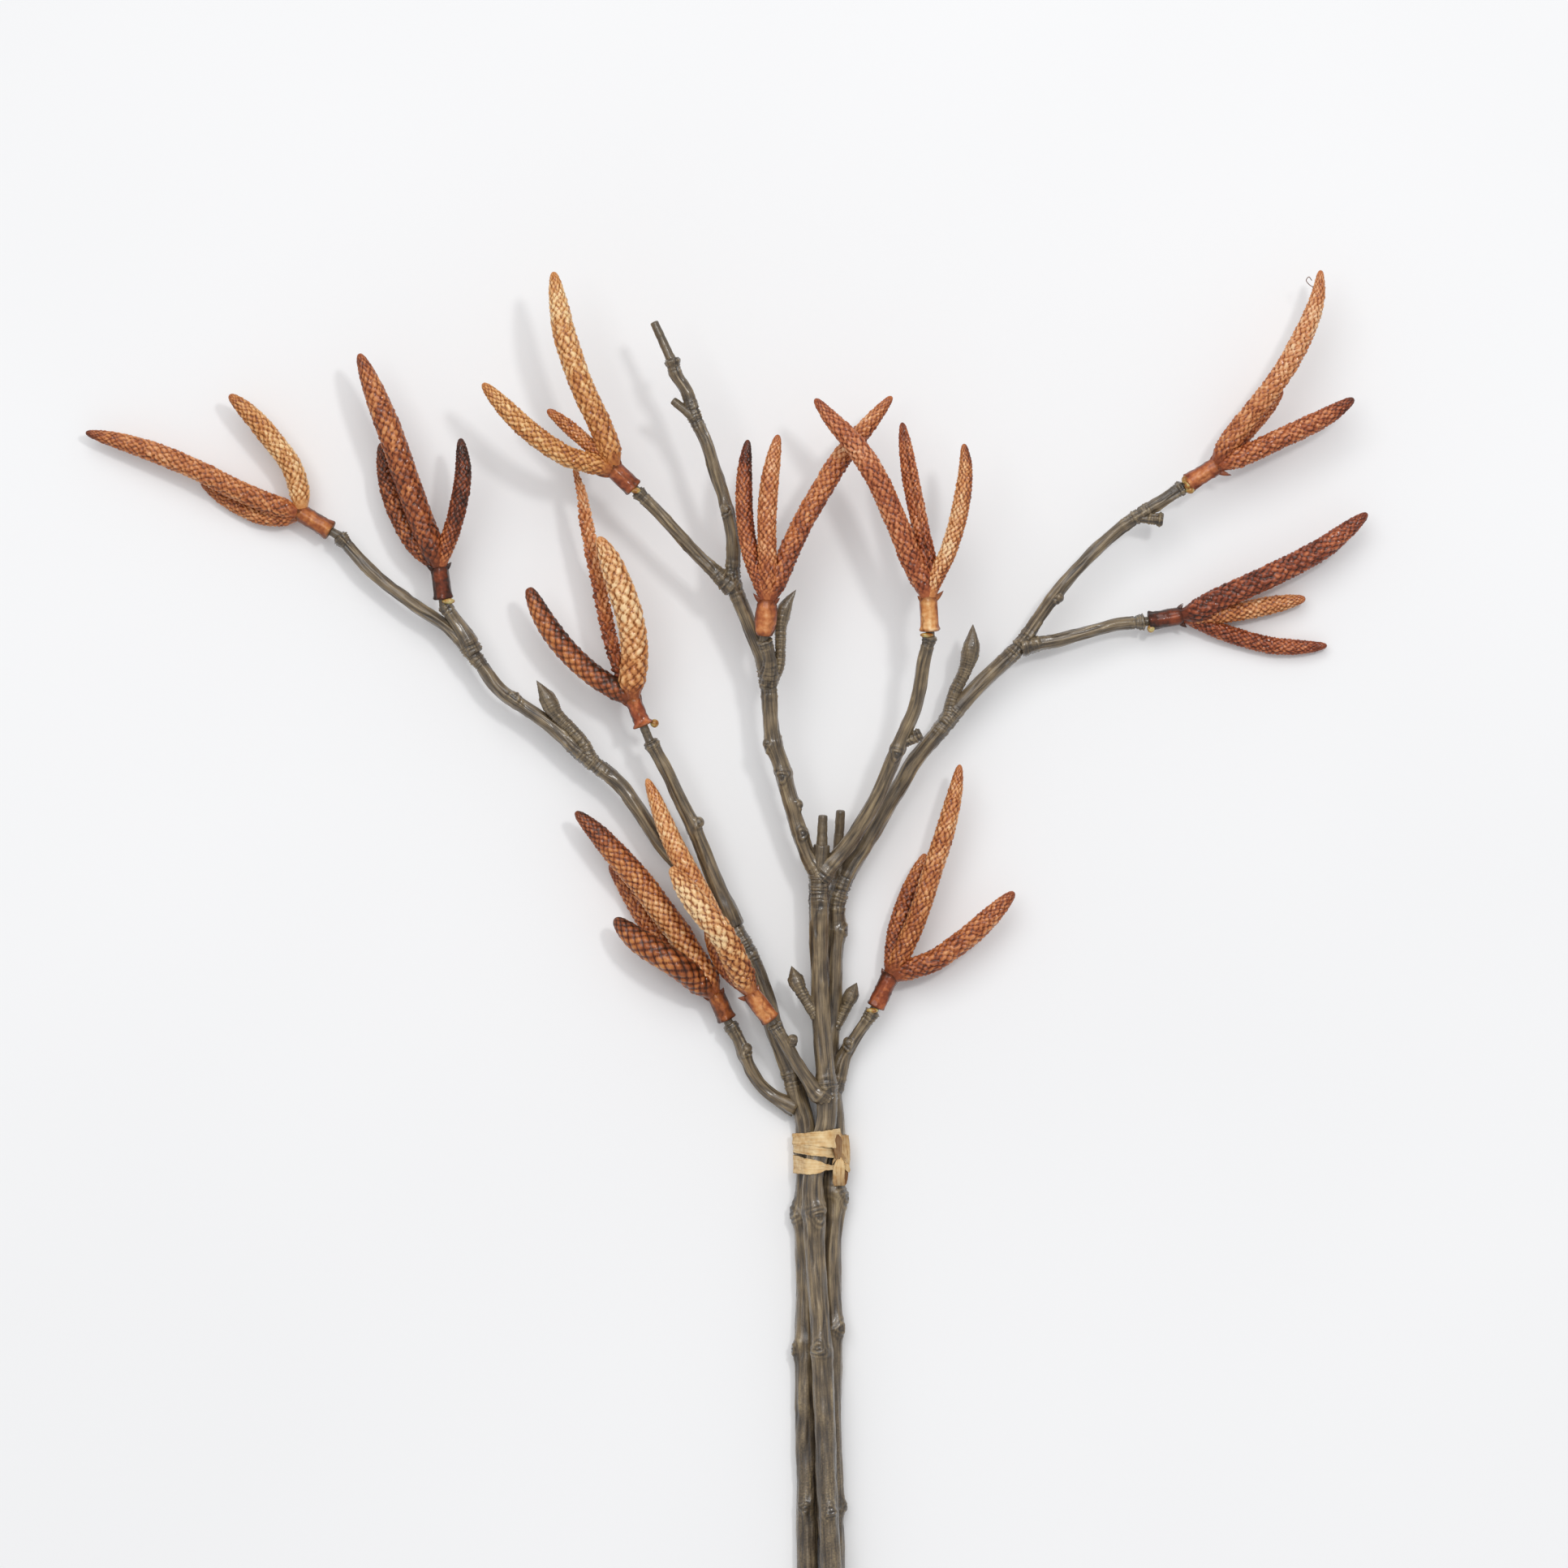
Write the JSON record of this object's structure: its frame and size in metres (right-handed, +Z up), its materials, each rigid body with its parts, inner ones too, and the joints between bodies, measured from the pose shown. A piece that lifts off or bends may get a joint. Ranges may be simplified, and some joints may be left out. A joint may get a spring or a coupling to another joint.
{
  "type": "tied bunch of artificial alder catkin branches",
  "caption": "Three moulded alder branches tied with straw raffia, with scaly orange-brown catkin clusters pushed on their twigs, lying flat.",
  "frame": {"origin": "middle of the tie's flat underside, on the surface that the bunch lies on", "axes": "+X across the bunch, +Y along the stems towards the catkins, +Z up from the surface"},
  "size_m": [0.5063, 0.6518, 0.0525],
  "materials": {
    "stem_plastic": "moulded plastic with a waxy sheen, painted grey-brown",
    "catkin_gold": "moulded plastic, golden ochre with a dark brown wash in the grooves, semi-gloss",
    "catkin_orange": "moulded plastic, orange with a dark brown wash in the grooves, semi-gloss",
    "catkin_rust": "moulded plastic, red-brown with a dark brown wash in the grooves, semi-gloss",
    "raffia": "dry straw raffia, matt, with long fibres"
  },
  "bodies": {
    "root": {"stem_left": "stem_plastic", "stem_middle": "stem_plastic", "stem_right": "stem_plastic", "catkins_a": "catkin_gold", "catkins_b": "catkin_rust", "catkins_c": "catkin_gold", "catkins_e": "catkin_gold", "catkins_f": "catkin_orange", "catkins_g": "catkin_rust", "catkins_i": "catkin_orange", "catkins_j": "catkin_rust", "catkins_k": "catkin_rust", "catkins_l": "catkin_orange", "catkins_m": "catkin_orange", "raffia_tie": "raffia"}
  },
  "joints": []
}
